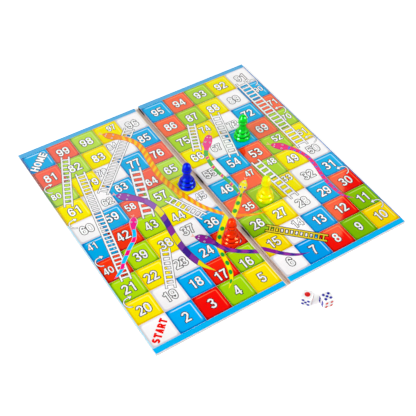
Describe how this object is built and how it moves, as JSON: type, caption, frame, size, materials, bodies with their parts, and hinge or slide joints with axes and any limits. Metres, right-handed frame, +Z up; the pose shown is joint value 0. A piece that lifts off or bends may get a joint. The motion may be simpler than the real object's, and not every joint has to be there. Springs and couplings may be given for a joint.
{
  "type": "snakes and ladders board",
  "caption": "Folding snakes and ladders board in two stiff halves on a spine, with coloured numbered squares, printed snakes and ladders, turned pawns and dice.",
  "frame": {"origin": "on the table, in the middle of the spine strip's underside, half way along the spine", "axes": "+Z up out of the printed face, +Y from the first row of squares to the last, +X from the left half to the right half"},
  "size_m": [0.247, 0.2859, 0.0305],
  "materials": {
    "greyboard": "unprinted greyboard",
    "sheet_white": "white art paper under gloss film",
    "brown_liner": "brown coated paper",
    "taupe_vinyl": "embossed taupe vinyl",
    "print_border_blue": "light blue ink under gloss film",
    "print_white": "white under gloss film",
    "print_blue": "blue ink under gloss film",
    "print_red": "red ink under gloss film",
    "print_green": "green ink under gloss film",
    "print_yellow": "yellow ink under gloss film",
    "print_ladder_white": "white under gloss film",
    "print_gold": "gold ink under gloss film",
    "print_orange": "orange ink under gloss film",
    "print_violet": "violet ink under gloss film",
    "print_lemon": "lemon ink under gloss film",
    "print_pink": "magenta ink under gloss film",
    "print_leaf_green": "green ink under gloss film",
    "pawn_blue": "moulded gloss polystyrene",
    "pawn_green": "moulded gloss polystyrene",
    "pawn_yellow": "moulded gloss polystyrene",
    "pawn_red": "moulded gloss polystyrene",
    "die_white": "tumbled white urea plastic",
    "pip_red": "red enamel",
    "pip_blue": "blue enamel"
  },
  "bodies": {
    "spine": {"spine_strip": "taupe_vinyl"},
    "left_half": {"left_core_board": "greyboard", "left_print_sheet": "sheet_white", "left_back_liner": "brown_liner", "left_hinge_tape": "taupe_vinyl", "left_border_print": "print_border_blue", "left_white_squares": "print_white", "left_blue_squares": "print_blue", "left_red_squares": "print_red", "left_green_squares": "print_green", "left_yellow_squares": "print_yellow", "left_white_ladders": "print_ladder_white", "orange_snake_left": "print_orange", "violet_snake_left": "print_violet", "spotted_snake_left": "print_lemon", "striped_snake": "print_violet", "candy_snake": "print_pink"},
    "right_half": {"right_core_board": "greyboard", "right_print_sheet": "sheet_white", "right_back_liner": "brown_liner", "right_hinge_tape": "taupe_vinyl", "right_border_print": "print_border_blue", "right_white_squares": "print_white", "right_blue_squares": "print_blue", "right_red_squares": "print_red", "right_green_squares": "print_green", "right_yellow_squares": "print_yellow", "right_white_ladders": "print_ladder_white", "gold_ladder": "print_gold", "orange_snake_right": "print_orange", "violet_snake_right": "print_violet", "spotted_snake_right": "print_lemon", "green_snake": "print_leaf_green", "magenta_snake": "print_pink"},
    "blue_pawn": {"blue_pawn": "pawn_blue"},
    "green_pawn": {"green_pawn": "pawn_green"},
    "yellow_pawn": {"yellow_pawn": "pawn_yellow"},
    "red_pawn": {"red_pawn": "pawn_red"},
    "left_die": {"left_die": "die_white", "left_die_red_pips": "pip_red", "left_die_blue_pips": "pip_blue"},
    "right_die": {"right_die": "die_white", "right_die_red_pips": "pip_red", "right_die_blue_pips": "pip_blue"}
  },
  "joints": [
    {"name": "left_fold", "type": "hinge", "parent": "spine", "child": "left_half", "pos_m": [-0.0024, 0, 0.0005], "axis": [0, 1, 0], "range_deg": [-90, 45]},
    {"name": "right_fold", "type": "hinge", "parent": "spine", "child": "right_half", "pos_m": [0.0024, 0, 0.0005], "axis": [0, -1, 0], "range_deg": [-90, 45]},
    {"name": "lift_blue_pawn", "type": "slide", "parent": "left_half", "child": "blue_pawn", "axis": [0, 0, 1], "range_m": [0, 0.04]},
    {"name": "lift_green_pawn", "type": "slide", "parent": "right_half", "child": "green_pawn", "axis": [0, 0, 1], "range_m": [0, 0.04]},
    {"name": "lift_yellow_pawn", "type": "slide", "parent": "right_half", "child": "yellow_pawn", "axis": [0, 0, 1], "range_m": [0, 0.04]},
    {"name": "lift_red_pawn", "type": "slide", "parent": "left_half", "child": "red_pawn", "axis": [0, 0, 1], "range_m": [0, 0.04]},
    {"name": "lift_left_die", "type": "slide", "parent": "spine", "child": "left_die", "axis": [0, 0, 1], "range_m": [0, 0.04]},
    {"name": "lift_right_die", "type": "slide", "parent": "spine", "child": "right_die", "axis": [0, 0, 1], "range_m": [0, 0.04]}
  ],
  "couplings": [
    {"joint": "right_fold", "follows": "left_fold", "ratio": 1}
  ]
}
